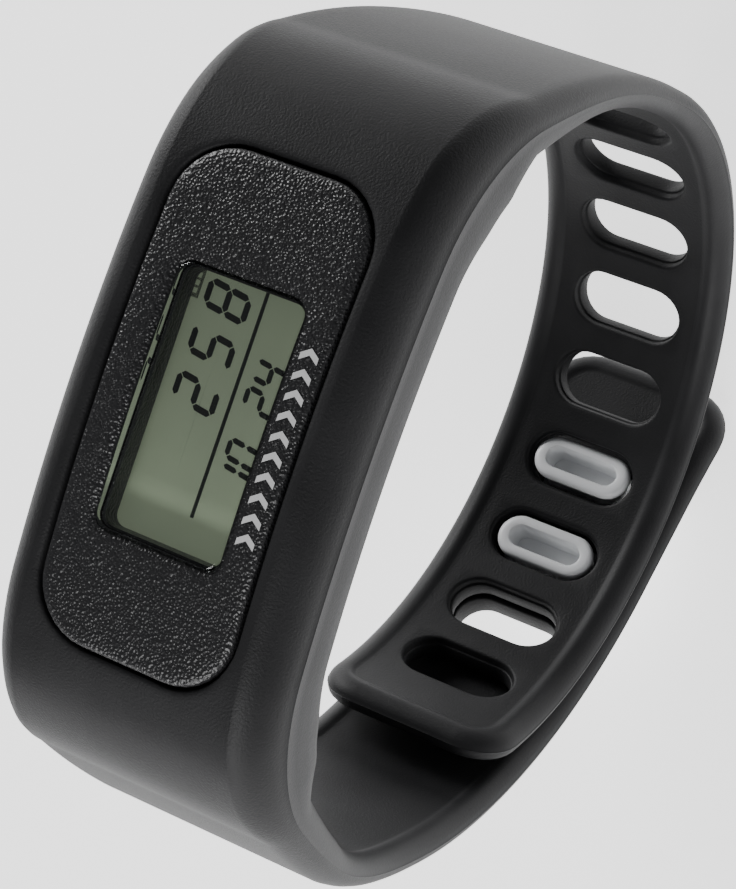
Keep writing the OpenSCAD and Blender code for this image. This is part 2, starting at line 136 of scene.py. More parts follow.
# %% A course turns length along the band into a place
class Course:
    """A path of (x, z, heading) points, with its length from the first point."""

    def __init__(self, points, side=1):
        p = np.array(points, float)
        p[:, 0] *= side
        p[:, 2] *= side
        self.p = p
        self.s = np.r_[0, np.cumsum(np.hypot(*np.diff(p[:, :2], axis=0).T))]
        self.side = side

    def at(self, s):
        return [np.interp(s, self.s, self.p[:, i]) for i in range(3)]

    def place(self, s, off, y):
        x, z, a = self.at(s)
        a = math.radians(a)
        return (x + off * math.sin(a), y, z + off * math.cos(a))


HOLE_STEP = math.degrees(HOLE_PITCH / (LOOP_R - STRAP_T / 2))
PEG_HOLE_A = 360 - CLASP_A
hole_headings = [PEG_HOLE_A + (i - 6) * HOLE_STEP for i in range(9)]
STRAP_END = hole_headings[8] + math.degrees(9.6 / LOOP_R)
start = np.array([[0, BAND_TOP, 0.0]])
hole_course = Course(np.vstack([start, arc(C1, CROWN_R, 0, A1), arc(C2, SHOULDER_R, A1, A2),
    arc(C3, SIDE_R, A2, A3), arc(C4, LOOP_R, A3, STRAP_END)]))
to_clasp = [start, arc(C1, CROWN_R, 0, A1), arc(C2, SHOULDER_R, A1, A2),
    arc(C3C, CLASP_SIDE_R, A2, A3C), arc(C5, WRAP_R, A3C, A5), arc(C4M, LAP_R, A5, CLASP_A)]
TIP_FLAT, TIP_CURL_R, TIP_L, TIP_R = 9.0, 60.0, 20.2, 4.6
tangent_p = C4M + LAP_R * heading(CLASP_A)
tip_t = np.array([math.cos(math.radians(CLASP_A)), -math.sin(math.radians(CLASP_A))])
tip = []
for s in np.linspace(0, TIP_L, 50)[1:]:
    bend = max(0.0, s - TIP_FLAT) / TIP_CURL_R
    q = (tangent_p + (min(s, TIP_FLAT) + TIP_CURL_R * math.sin(bend)) * tip_t
         + TIP_CURL_R * (1 - math.cos(bend)) * heading(CLASP_A))
    tip.append([q[0], q[1], CLASP_A - math.degrees(bend)])
clasp_course = Course(np.vstack(to_clasp + [np.array(tip)]), side=-1)
S_CLASP = float(clasp_course.s[-1] - TIP_L)
print("hole side", round(hole_course.s[-1], 1), "mm, clasp side",
      round(clasp_course.s[-1], 1), "mm")

# %% [markdown]
# ## The section of the band
# A cut through the strap shows a shallow channel on the skin side, soft rims, a
# thin flash line where the mould's halves met, and a rounded outside. Where the
# band holds the module the same points swell into a thick surround. Writing
# both sections with the same number of points lets one melt into the other.

# %% Sections, as [distance outwards, distance in from the side]
STRAP_EDGE = np.array([[-1.10, 2.40], [-1.13, 2.22], [-1.22, 2.04], [-1.31, 1.82],
    [-1.34, 1.55], [-1.30, 1.25], [-1.14, 0.88], [-0.88, 0.52], [-0.55, 0.24],
    [-0.25, 0.09], [-0.07, 0.05], [0.0, 0.0], [0.07, 0.05], [0.22, 0.08],
    [0.46, 0.14], [0.70, 0.28], [0.90, 0.52], [1.04, 0.84], [1.10, 1.20]])
CROWN_EDGE = np.array([[-5.0, 3.0], [-5.0, 2.65], [-4.98, 2.25], [-4.92, 1.75],
    [-4.78, 1.2], [-4.5, 0.74], [-4.05, 0.4], [-3.4, 0.17], [-2.3, 0.07],
    [-1.1, 0.05], [-0.1, 0.05], [0.0, 0.0], [0.1, 0.06], [0.75, 0.13],
    [1.45, 0.34], [2.15, 0.76], [2.8, 1.32], [3.32, 1.98], [3.6, 2.7]])
EDGE_N = len(STRAP_EDGE)
OUT_A = [[0, 30, 50, 66, 80, 88], [1, 0.97, 0.66, 0.3, 0.06, 0]]
IN_A = [[0, 19, 31, 50, 66, 76, 86], [1, 1.12, 1.18, 1.0, 0.43, 0.09, 0]]


def soft_lookup(a, table, blur=5.0):
    """A table read with its corners rounded off."""
    w = np.linspace(-1, 1, 15)
    k = np.interp(abs(a + w * blur), *table)
    return float((k * (1 - w * w)).sum() / (1 - w * w).sum())


def half_width(z):
    t = min(1.0, max(0.0, (z + 5.2) / 35.2))
    return HALF_W + (POCKET_HALF_W - HALF_W) * t * t * (3 - 2 * t)


def section(course, s):
    """Edge points (outwards, across) of the band at length s."""
    _, z, a = course.at(s)
    k_out, k_in = soft_lookup(abs(a), OUT_A), soft_lookup(abs(a), IN_A)
    w = half_width(z) if abs(a) < 110 else HALF_W
    edge = []
    for i in range(EDGE_N):
        k = k_in if i < 11 else k_out
        off = STRAP_EDGE[i, 0] + (CROWN_EDGE[i, 0] - STRAP_EDGE[i, 0]) * k
        inset = STRAP_EDGE[i, 1] + (CROWN_EDGE[i, 1] - STRAP_EDGE[i, 1]) * min(1, k)
        edge.append((off, inset))
    return edge, w


# %% [markdown]
# ## A shell builder
# Moulded parts are easiest to keep smooth when their mesh is made of loops: a
# loop of points, the next loop, and a strip of quads between. Holes get loops
# of their own that meet the grid of the strap around them, so that every slot
# has a soft lip and no boolean has to cut anything.

# %% Loops, strips and fills
class Shell:
    def __init__(self):
        self.v, self.f, self.m = [], [], []

    def loop(self, points):
        first = len(self.v)
        self.v += [tuple(p) for p in points]
        return list(range(first, len(self.v)))

    def strip(self, a, b, slot=0, closed=True):
        n = len(a)
        for i in range(n if closed else n - 1):
            j = (i + 1) % n
            self.quad(a[i], a[j], b[j], b[i], slot)

    def quad(self, a, b, c, d, slot=0):
        ids = [k for k, prev in zip((a, b, c, d), (d, a, b, c)) if k != prev]
        if len(set(ids)) > 2:
            self.f.append(tuple(ids))
            self.m.append(slot)

    def cap(self, loop, slot=0):
        self.f.append(tuple(loop))
        self.m.append(slot)

    def build(self, name, materials, sharp=48, flip=False):
        mesh = bpy.data.meshes.new(name)
        mesh.from_pydata([(x * MM, y * MM, z * MM) for x, y, z in self.v], [], self.f)
        mesh.polygons.foreach_set("material_index", self.m)
        for mat in materials:
            mesh.materials.append(mat)
        bm = bmesh.new()
        bm.from_mesh(mesh)
        bmesh.ops.remove_doubles(bm, verts=bm.verts, dist=1e-6)
        bmesh.ops.recalc_face_normals(bm, faces=bm.faces)
        loose = [v for v in bm.verts if not v.link_faces]
        bmesh.ops.delete(bm, geom=loose, context="VERTS")
        open_edges = sum(1 for e in bm.edges if len(e.link_faces) != 2)
        volume = bm.calc_volume(signed=True) * 1e9
        bm.to_mesh(mesh)
        bm.free()
        mesh.polygons.foreach_set("use_smooth", [True] * len(mesh.polygons))
        mesh.set_sharp_from_angle(angle=math.radians(sharp))
        piece = bpy.data.objects.new(name, mesh)
        bpy.context.scene.collection.objects.link(piece)
        print(name, len(mesh.polygons), "faces,", round(volume), "mm3,", open_edges,
              "edges not shared by two faces")
        return piece


def rounded(l, w, r, nx, ny, m=4):
    """A rounded rectangle with 2 (nx + ny) points, from the middle of its (-, +) corner."""
    pts = []

    def bow(cx, cy, a0, a1):
        for i in range(m):
            a = math.radians(a0 + (a1 - a0) * i / m)
            pts.append((cx + r * math.cos(a), cy + r * math.sin(a)))

    def run(x0, y0, x1, y1, n):
        for i in range(n):
            pts.append((x0 + (x1 - x0) * i / n, y0 + (y1 - y0) * i / n))

    x, y = l / 2 - r, w / 2 - r
    bow(-x, y, 135, 90); run(-x, y + r, x, y + r, nx - 2 * m); bow(x, y, 90, 45)
    bow(x, y, 45, 0); run(x + r, y, x + r, -y, ny - 2 * m); bow(x, -y, 0, -45)
    bow(x, -y, -45, -90); run(x, -y - r, -x, -y - r, nx - 2 * m); bow(-x, -y, -90, -135)
    bow(-x, -y, -135, -180); run(-x - r, -y, -x - r, y, ny - 2 * m); bow(-x, y, 180, 135)
    return pts


print("a slot's loop has", len(rounded(4.8, 9.7, 2.4, 8, 16)), "points")

# %% [markdown]
# ## Strap lengths with slots
# A strap is a tube of rings. Across its flat there are sixteen columns, and a
# slot takes the place of eight rows of them, on the skin side and the outside
# at once. Its loops run from the skin side's lip, down the shallow seat that the
# peg's head sits in, through the strap and out over the outer lip.

# %% Rows of rings with slots through them
COLS = 16
SLOT_L, SLOT_W, SEAT_L, SEAT_W, SEAT_D = 9.79, 4.79, 10.14, 5.09, 0.7


class Strap:
    """Rings along a course, from s0 to s1, with slots at the lengths given."""

    def __init__(self, shell, course, s0, s1, slots=(), end_r=0, pocket=None, cut=None):
        self.sh, self.course, self.rings, self.rows = shell, course, [], []
        self.s1, self.end_r, self.skip = s1, end_r, set()
        self.slots, self.pocket = list(slots), pocket
        self.make_rows(s0, s1)
        for s in self.rows:
            self.rings.append(self.ring(s))
        self.patches()
        if cut:
            cut(self)
        self.skin()

    def make_rows(self, s0, s1):
        stops = [(c - half, c + half, n) for c, half, n in
                 [(c, 3.1, 8) for c, _ in self.slots] + ([self.pocket] if self.pocket else [])]
        rows, s = [], s0
        last = s1 - self.end_r
        for lo, hi, n in sorted(stops):
            k = max(1, round((lo - s) / 0.8)) if lo - s > 0.05 else 0
            rows += [s + (lo - s) * i / k for i in range(k)]
            rows += [lo + (hi - lo) * i / n for i in range(n)]
            s = hi
        k = max(1, round((last - s) / 0.8))
        rows += [s + (last - s) * i / k for i in range(k)] + [last]
        self.rows = rows

    def block(self, s, w):
        """Half widths of the flat's columns on the outside and the inside."""
        t = min(1, max(0, (w - HALF_W) / (POCKET_HALF_W - HALF_W)))
        t = t ** 1.5
        return 5.75 + (8.98 - 5.75) * t, 5.75 + (8.2 - 5.75) * t

    def ring(self, s, theta=None):
        edge, w = section(self.course, min(s, self.s1))
        r, pts = self.end_r, []
        side = []
        for off, inset in edge:
            if theta is None:
                side.append((s, off, w - inset))
            else:
                side.append((self.s1 - r + (r - inset) * math.sin(theta), off,
                             w - r + (r - inset) * math.cos(theta)))
        bo, bi = self.block(s, w)
        out_s, out_off, out_y = side[-1]
        in_s, in_off, in_y = side[0]
        bo, bi = min(bo, out_y - 0.12), min(bi, in_y - 0.12)
        across = [(out_y + bo) / 2] + [bo - 2 * bo * i / COLS for i in range(COLS + 1)]
        across.append(-(out_y + bo) / 2)
        pts += side + [(out_s, out_off, y) for y in across]
        pts += [(a, b, -y) for a, b, y in reversed(side)]
        across = [(in_y + bi) / 2] + [bi - 2 * bi * i / COLS for i in range(COLS + 1)]
        across.append(-(in_y + bi) / 2)
        pts += [(in_s, in_off, y) for y in reversed(across)]
        self.last = pts
        return self.sh.loop([self.course.place(*p) for p in pts])

    def out_col(self, k, c):
        return self.rings[k][EDGE_N + 1 + c]

    def in_col(self, k, c):
        return self.rings[k][2 * EDGE_N + COLS + 3 + 1 + COLS - c]

    def window(self, col, k0, n):
        """Grid points round a block of rows, in the order that rounded() gives."""
        top = [col(k0 + i, 0) for i in range(n)]
        end = [col(k0 + n, c) for c in range(COLS)]
        low = [col(k0 + n - i, COLS) for i in range(n)]
        back = [col(k0, COLS - c) for c in range(COLS)]
        return top + end + low + back

    def row_of(self, s):
        return int(np.argmin(abs(np.array(self.rows) - s)))

    def patches(self):
        for c, kind in self.slots:
            k0 = self.row_of(c - 3.1)
            self.skip |= {(k0 + i, side) for i in range(8) for side in ("out", "in")}
            self.slot(c, kind, self.window(self.out_col, k0, 8), self.window(self.in_col, k0, 8))

    def slot_loop(self, c, l, w, off):
        r = w / 2
        return self.sh.loop([self.course.place(c + x, off, y)
                             for x, y in rounded(w, l, r - 1e-4, 8, COLS)])

    def slot(self, c, kind, outer, inner):
        h = STRAP_T / 2
        if kind == "plain":
            levels = [(SLOT_L + .56, SLOT_W + .56, -h), (SLOT_L + .22, SLOT_W + .22, -h + .05),
                      (SLOT_L, SLOT_W, -h + .25)]
        else:
            levels = [(SEAT_L + .62, SEAT_W + .62, -h), (SEAT_L + .26, SEAT_W + .26, -h + .04),
                      (SEAT_L + .06, SEAT_W + .06, -h + .2), (SEAT_L - .02, SEAT_W - .02, -h + .58),
                      (SEAT_L - .1, SEAT_W - .1, -h + SEAT_D - .03),
                      (SLOT_L + .04, SLOT_W + .04, -h + SEAT_D),
                      (SLOT_L - .06, SLOT_W - .06, -h + SEAT_D + .07)]
        levels += [(SLOT_L - .08, SLOT_W - .08, h - .3), (SLOT_L, SLOT_W, h - .12),
                   (SLOT_L + .18, SLOT_W + .18, h - .02), (SLOT_L + .5, SLOT_W + .5, h)]
        prev = inner
        for l, w, off in levels:
            ring = self.slot_loop(c, l, w, off)
            self.sh.strip(prev, ring, 0)
            prev = ring
        self.sh.strip(prev, outer, 0)

    def skin(self):
        n = len(self.rings[0])
        o0, i0 = EDGE_N + 1, 2 * EDGE_N + COLS + 3 + 1
        if self.end_r:
            for t in np.linspace(0, math.pi / 2, 9)[1:]:
                s = self.s1 - self.end_r + self.end_r * math.sin(t)
                self.rings.append(self.ring(s, t))
        for k in range(len(self.rings) - 1):
            a, b = self.rings[k], self.rings[k + 1]
            for j in range(n):
                side = "out" if o0 <= j < o0 + COLS else "in" if i0 <= j < i0 + COLS else ""
                if (k, side) in self.skip:
                    continue
                wall = j < 10 or 2 * EDGE_N + COLS + 3 - 11 <= j < 2 * EDGE_N + COLS + 3 - 1
                self.sh.quad(a[j], a[(j + 1) % n], b[(j + 1) % n], b[j], 1 if wall else 0)
        if self.end_r:
            self.round_end()

    def round_end(self):
        """Closes the far end: its edge runs across between the two corners."""
        edge, _ = section(self.course, self.s1)
        ring, n = self.rings[-1], 2 * EDGE_N + COLS + 3
        prev = ring[EDGE_N - 1:EDGE_N + COLS + 4]
        inner = [ring[0]] + list(reversed(ring[n:])) + [ring[n - 1]]
        y_out = [self.sh.v[q][1] for q in prev[1:-1]]
        y_in = [self.sh.v[q][1] for q in inner[1:-1]]
        for i in range(EDGE_N - 2, -1, -1):
            t = 1 - i / (EDGE_N - 1)
            cols = [self.course.place(self.s1 - edge[i][1], edge[i][0], a + (b - a) * t)
                    for a, b in zip(y_out, y_in)]
            line = [ring[i]] + self.sh.loop(cols) + [ring[n - 1 - i]] if i else inner
            self.sh.strip(prev, line, 1 if i < 10 else 0, closed=False)
            prev = line


print("strap edge points", EDGE_N, "columns", COLS)

# %% [markdown]
# ## Paint made of nodes
# Finishes here are written as sums. A thin wrapper round a socket lets Python's
# plus and times add the Math nodes, so that a material reads like the recipe it
# is: grain times height, edges with wear and a painted sheen times a lighter grey.

# %% A socket that can be added and multiplied, and a finish that makes nodes
class Wire:
    def __init__(self, finish, socket):
        self.finish, self.socket = finish, socket

    def _op(self, kind, a, b):
        return self.finish.node("ShaderNodeMath", {"operation": kind}, {0: a, 1: b})

    def __add__(self, other): return self._op("ADD", self, other)
    def __radd__(self, other): return self._op("ADD", other, self)
    def __sub__(self, other): return self._op("SUBTRACT", self, other)
    def __rsub__(self, other): return self._op("SUBTRACT", other, self)
    def __mul__(self, other): return self._op("MULTIPLY", self, other)
    def __rmul__(self, other): return self._op("MULTIPLY", other, self)


class Finish:
    """A material with one Principled shader, and short ways to feed it."""

    def __init__(self, name, color=(0.5, 0.5, 0.5), roughness=0.5, **sockets):
        self.mat = bpy.data.materials.new(name)
        self.mat.use_nodes = True
        self.nodes, self.links = self.mat.node_tree.nodes, self.mat.node_tree.links
        self.shader = self.nodes["Principled BSDF"]
        self.output = self.nodes["Material Output"]
        self.set("Base Color", (*color, 1))
        self.set("Roughness", roughness)
        for key, value in sockets.items():
            self.set(key.replace("_", " ").title().replace("Ior", "IOR"), value)

    def set(self, socket, value):
        self.put(self.shader.inputs[socket], value)

    def put(self, socket, value):
        if isinstance(value, Wire):
            self.links.new(value.socket, socket)
        else:
            socket.default_value = value

    def node(self, kind, settings=None, inputs=None, out=0):
        n = self.nodes.new(kind)
        for key, value in (settings or {}).items():
            if key == "stops":
                ramp = n.color_ramp.elements
                while len(ramp) < len(value):
                    ramp.new(0.5)
                for stop, (at, level) in zip(ramp, value):
                    stop.position = at
                    stop.color = (level, level, level, 1)
            else:
                setattr(n, key, value)
        for key, value in (inputs or {}).items():
            self.put(n.inputs[key], value)
        return Wire(self, n.outputs[out])

    def where(self):
        return self.node("ShaderNodeTexCoord", out="Object")

    def noise(self, per_mm, detail=2.0, rough=0.5, stretch=None):
        at = self.where()
        if stretch:
            at = self.node("ShaderNodeMapping", None, {"Vector": at, "Scale": stretch})
        return self.node("ShaderNodeTexNoise", None, {"Vector": at, "Scale": per_mm / MM,
            "Detail": detail, "Roughness": rough}, out="Fac")

    def ramp(self, value, *stops):
        return self.node("ShaderNodeValToRGB", {"stops": stops}, {"Fac": value})

    def mix(self, mask, a, b):
        """Colour a where the mask is 0 and b where it is 1."""
        return self.node("ShaderNodeMix", {"data_type": "RGBA"},
            {"Factor": mask, 6: a if isinstance(a, Wire) else (*a, 1),
             7: b if isinstance(b, Wire) else (*b, 1)}, out=2)

    def bump(self, height, depth_mm, strength=1.0, under=None):
        inputs = {"Strength": strength, "Distance": depth_mm * MM, "Height": height}
        if under is not None:
            inputs["Normal"] = under
        return self.node("ShaderNodeBump", None, inputs)

    def pointiness(self):
        return self.node("ShaderNodeNewGeometry", out="Pointiness")


print("recipes ready")

# %% [markdown]
# ## Silicone
# The strap is matte black silicone. Its skin has a very fine grain from the
# mould, a faint bloom of dust that makes it greyer than plastic, and a smoother
# band under the mould line. Fine bump and a broad, dull highlight do that; a
# clear coat or a sharp gloss would read as rubber that is wet.

# %% Silicone finishes
def silicone(name, tone, grain, rough):
    f = Finish(name, roughness=rough, specular_ior_level=0.2)
    fine = f.noise(5.5, 2.0)
    broad = f.noise(0.18, 2.0)
    dust = f.ramp(broad, (0.35, 0.0), (0.75, 1.0))
    base = tuple(tone * c for c in (1.0, 1.0, 1.06))
    f.set("Base Color", f.mix(dust, base, tuple(c * 1.3 + 0.002 for c in base)))
    f.set("Roughness", rough + 0.12 * (fine - 0.5))
    f.set("Normal", f.bump(fine, grain, 0.9))
    return f.mat


band_silicone = silicone("silicone_black", 0.014, 0.040, 0.54)
wall_silicone = silicone("silicone_wall", 0.018, 0.022, 0.52)
pad_silicone = silicone("silicone_pad", 0.024, 0.012, 0.52)

# %% [markdown]
# ## The band's body
# The surround of the display, the strap with the holes and the first part of
# the outer strap are one moulding, so they are one mesh. Its pocket is a well in
# the top with straight walls, and a round window in the pocket's floor gives a
# way to the battery door.

# %% One course from the outer strap over the top to the end with the holes
SEAM_A = 127.0
whole = np.vstack([clasp_course.p[::-1][:-1], hole_course.p])
whole = whole[whole[:, 2] >= -150]
body_course = Course(whole)
body_course.s -= np.interp(0.0, body_course.p[:, 2], body_course.s)


def body_s(a):
    return float(np.interp(a, body_course.p[:, 2], body_course.s))


s_grid = np.linspace(-24, 24, 240)
outside = np.array([body_course.place(s, section(body_course, s)[0][-1][0], 0) for s in s_grid])
inside = np.array([body_course.place(s, section(body_course, s)[0][0][0], 0) for s in s_grid])


def top_z(x):
    return float(np.interp(x, outside[:, 0], outside[:, 2]))


def under_z(x):
    return float(np.interp(x, inside[:, 0], inside[:, 2]))


low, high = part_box("front_case")
POCKET_L = (high.x - low.x) / MM + 0.4
POCKET_W = (high.y - low.y) / MM + 0.4
FLOOR_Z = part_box("rear_case")[0].z / MM - 0.05
door_low, door_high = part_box("battery_door")
DOOR_X, DOOR_R = (door_low.x + door_high.x) / 2 / MM, 7.5
POCKET_S = float(np.interp(POCKET_L / 2 + 1.35, outside[:, 0], s_grid))
print("pocket", round(POCKET_L, 2), "x", round(POCKET_W, 2), "mm, lip at", round(POCKET_S, 2))


# %% The pocket's lip, walls and floor
def pocket_and_door(strap):
    sh, n = strap.sh, 40
    k0 = strap.row_of(-POCKET_S)
    strap.skip |= {(k0 + i, "out") for i in range(n)}
    prev = strap.window(strap.out_col, k0, n)
    r = 4.8
    for grow, drop in [(0.8, 0.0), (0.42, 0.02), (0.2, 0.08), (0.06, 0.2), (0.0, 0.45)]:
        ring = sh.loop([(x, y, top_z(x) - drop) for x, y in
                        rounded(POCKET_L + 2 * grow, POCKET_W + 2 * grow, r + grow, n, COLS)])
        sh.strip(prev, ring)
        prev = ring
    for z in (36.0, FLOOR_Z + 0.4):
        ring = sh.loop([(x, y, min(z, top_z(x) - 1.0)) for x, y in
                        rounded(POCKET_L, POCKET_W, r, n, COLS)])
        sh.strip(prev, ring)
        prev = ring
    floor = sh.loop([(x, y, FLOOR_Z) for x, y in
                     rounded(POCKET_L - 0.8, POCKET_W - 0.8, r - 0.4, n, COLS)])
    sh.strip(prev, floor)
    k1 = min(range(len(strap.rows)), key=lambda k: abs(strap.rows[k] - (DOOR_X - 8.0) * 1.04))
    k2 = min(range(len(strap.rows)), key=lambda k: abs(strap.rows[k] - (DOOR_X + 8.0) * 1.04))
    strap.skip |= {(k, "in") for k in range(k1, k2)}
    prev = strap.window(strap.in_col, k1, k2 - k1)
    turn = [math.atan2(sh.v[q][1], sh.v[q][0] - DOOR_X) for q in prev]

    def circle(radius, z):
        pts = [(DOOR_X + radius * math.cos(t), radius * math.sin(t)) for t in turn]
        return sh.loop([(x, y, under_z(x) if z is None else z) for x, y in pts])

    for radius, z in [(DOOR_R + 0.25, None), (DOOR_R, FLOOR_Z - 0.55), (DOOR_R, FLOOR_Z - 0.1),
                      (DOOR_R + 0.15, FLOOR_Z)]:
        ring = circle(radius, z)
        sh.strip(prev, ring)
        prev = ring
    zip_rings(sh, floor, prev)


def zip_rings(sh, a, b):
    """Triangles between two flat rings with different numbers of points."""
    def angles(ring):
        t = [math.atan2(sh.v[q][1], sh.v[q][0] - DOOR_X) for q in ring]
        if sum((t[i] - t[i - 1] + math.pi) % (2 * math.pi) - math.pi for i in range(len(t))) < 0:
            ring, t = ring[::-1], t[::-1]
        k = t.index(min(t))
        return ring[k:] + ring[:k], t[k:] + t[:k]

    (a, ta), (b, tb) = angles(a), angles(b)
    i = j = 0
    while i < len(a) or j < len(b):
        next_a = ta[i + 1] if i + 1 < len(a) else ta[0] + 2 * math.pi
        next_b = tb[j + 1] if j + 1 < len(b) else tb[0] + 2 * math.pi
        if j >= len(b) or (i < len(a) and next_a <= next_b):
            sh.cap((a[i % len(a)], a[(i + 1) % len(a)], b[j % len(b)]))
            i += 1
        else:
            sh.cap((a[i % len(a)], b[(j + 1) % len(b)], b[j % len(b)]))
            j += 1


# %% Build the body
seam_s = body_s(-SEAM_A)
slots = [(body_s(a), "seat") for a in hole_headings]
shell = Shell()
band = Strap(shell, body_course, seam_s, float(body_course.s[-1]), slots, 4.0,
             (0.0, POCKET_S, 40), pocket_and_door)
shell.cap(band.rings[0])
body_skin = shell.build("band_body", [band_silicone, wall_silicone])
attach(body_skin, "band")
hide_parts("band_carrier", "hole_strap")

# %% [markdown]
# ## The outer strap's end
# The strap that carries the clasp peels away from the other one, so its end is a
# mesh of its own, from where it lies free to the clasp. It has close slots for the
# two pegs, an open slot beside them, and a rounded tip.

# %% Build the outer strap's end
def clasp_length(a):
    """Length on the outer strap where it passes heading a, seen from the loop's centre."""
    side = clasp_course.p[:, 0] * -1 - C4M[0], clasp_course.p[:, 1] - C4M[1]
    seen = np.degrees(np.arctan2(side[0], side[1])) % 360
    late = clasp_course.s > 60
    return float(np.interp(a, seen[late], clasp_course.s[late]))


peg_gap = LOOP_R * math.sin(math.radians(HOLE_STEP))
shell = Shell()
tip_slots = [(clasp_length(360 - hole_headings[7]), "plain"), (S_CLASP, "close"),
             (S_CLASP + peg_gap, "close")]
tip_strap = Strap(shell, clasp_course, float(np.interp(SEAM_A, clasp_course.p[:, 2] * -1,
    clasp_course.s)), float(clasp_course.s[-1]), tip_slots, TIP_R)
shell.cap(tip_strap.rings[0])
tip_skin = shell.build("strap_end", [band_silicone, wall_silicone])
bend_0, bend_1 = (clasp_course.place(float(np.interp(a, -clasp_course.p[:1500, 2],
    clasp_course.s[:1500])), 0, 0) for a in (131, 144))
[c * MM for c in bend_0]
[c * MM for c in bend_1]
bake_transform(tip_skin)
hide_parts("clasp_strap", "clasp_strap_tip")

# %% [markdown]
# ## The clasp
# A light grey plate lies on the outside, with two hollow pegs that snap through
# both straps. On the skin side each peg shows as a rounded ring with a blind
# slot in it. The finish is satin acetal: a soft, wide highlight.

# %% The clasp as loops, in its own upright frame
def in_clasp(x, y, z):
    n, t = heading(CLASP_A) * [-1, 1], tip_t * [-1, 1]
    q = C4 + x * t + z * n
    return (q[0], y, q[1])


acetal = Finish("acetal_grey", (0.84, 0.85, 0.86), 0.33)
fine = acetal.noise(3.0, 2.0)
acetal.set("Roughness", 0.31 + 0.1 * fine)
acetal.set("Normal", acetal.bump(acetal.noise(7.0, 1.0), 0.004, 0.5))
HEAD_L, HEAD_W, HEAD_T, HEAD_WALL = 9.15, 3.95, 0.9, 1.05
plate_z = LAP_R + STRAP_T / 2 + 0.06
shell = Shell()


def clasp_loops(levels, x0, nx, ny, ends=(True, True)):
    """A stack of loops (along, across, corner, height) in the clasp's frame."""
    prev = None
    for k, (along, across, r, z) in enumerate(levels):
        ring = shell.loop([in_clasp(x0 + x, y, z)
                           for x, y in rounded(along, across, r, nx, ny)])
        if prev:
            shell.strip(prev, ring)
        elif ends[0]:
            shell.cap(ring)
        prev = ring
    if ends[1]:
        shell.cap(prev)


along, across = peg_gap + HEAD_W + 2.6, HEAD_L + 3.4
clasp_loops([(along - 2 * b, across - 2 * b, 2.2 - b, plate_z + h) for b, h in
    [(0.25, 0), (0.06, 0.07), (0, 0.25), (0, 0.85), (0.08, 1.06), (0.25, 1.21), (0.55, 1.3)]],
    peg_gap / 2, 14, 14)
for i in range(2):
    z0 = LOOP_R - STRAP_T / 2 + 0.1 - i * (LOOP_R - STRAP_T / 2) * (
        1 - math.cos(math.radians(HOLE_STEP)))
    blind_l, blind_w = HEAD_L - 2 * HEAD_WALL - 0.35, HEAD_W - 2 * HEAD_WALL
    levels = [(blind_w - .06, blind_l - .06, z0 + 2.6), (blind_w, blind_l, z0 + .45),
        (blind_w + .08, blind_l + .08, z0 + .22), (blind_w + .3, blind_l + .3, z0 + .05),
        (blind_w + .7, blind_l + .7, z0), (HEAD_W - .9, HEAD_L - .9, z0 + .01),
        (HEAD_W - .42, HEAD_L - .42, z0 + .08), (HEAD_W - .12, HEAD_L - .12, z0 + .24),
        (HEAD_W, HEAD_L, z0 + .46), (HEAD_W, HEAD_L, z0 + HEAD_T - .12),
        (HEAD_W - .24, HEAD_L - .24, z0 + HEAD_T), (HEAD_W - .8, HEAD_L - .8, z0 + HEAD_T),
        (HEAD_W - .8, HEAD_L - .8, plate_z + 0.1)]
    clasp_loops([(w, l, w / 2 - 1e-4, z) for w, l, z in levels], i * peg_gap, 8, 16)
buckle = shell.build("clasp_buckle", [acetal.mat], sharp=40)
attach(buckle, "clasp")
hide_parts("clasp")

# %% [markdown]
# ## The display's face
# The module's front is one black moulding with a pebbled grain, gently arched
# along the wrist. Its rim is rounded, its convex edges are painted a lighter grey,
# partly as wear and partly as a painted sheen, and a soft dip runs round the clear
# window, which stands a hair proud of it.

# %% Face plate finish
def case_finish():
    f = Finish("case_grain", roughness=0.42, specular_ior_level=0.5)
    pebble = f.node("ShaderNodeTexVoronoi", {"feature": "SMOOTH_F1"},
        {"Vector": f.where(), "Scale": 4.6 / MM, "Smoothness": 0.5, "Randomness": 1.0},
        out="Distance")
    fine = f.noise(6.0, 3.0)
    # the convex edges are painted a lighter grey: partly wear, partly a painted sheen
    wear_and_sheen = f.ramp(f.pointiness(), (0.52, 0.0), (0.60, 1.0))
    f.set("Base Color", f.mix(wear_and_sheen, (0.014, 0.014, 0.015), (0.05, 0.05, 0.052)))
    f.set("Roughness", 0.34 + 0.14 * (fine - 0.5))
    f.set("Normal", f.bump(pebble + 0.3 * fine, 0.085, 1.0))
    return f.mat


case_grain = case_finish()
low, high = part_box("front_case")
FACE_L, FACE_W = (high.x - low.x) / MM, (high.y - low.y) / MM
FACE_Z, CASE_LOW = high.z / MM, low.z / MM
FACE_R = CROWN_R + FACE_Z - BAND_TOP
low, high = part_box("window_lens")
WIN_L, WIN_W, LENS_LOW = (high.x - low.x) / MM + .06, (high.y - low.y) / MM + .06, low.z / MM
LCD_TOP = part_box("lcd_glass")[1].z / MM
CASE_R, WALL_MID, CEILING_Z, PANE_R = 4.6, 36.0, 37.5, 1.07


def face_z(x):
    return FACE_Z - FACE_R + math.sqrt(FACE_R**2 - x * x)


def face_loop(sh, l, w, r, height, nx=40, ny=16):
    """A rounded loop on the face; its height is a function of x, a level or a depth under the
    arched face.
    """
    return sh.loop([(x, y, height(x)) for x, y in rounded(l, w, r, nx, ny)])


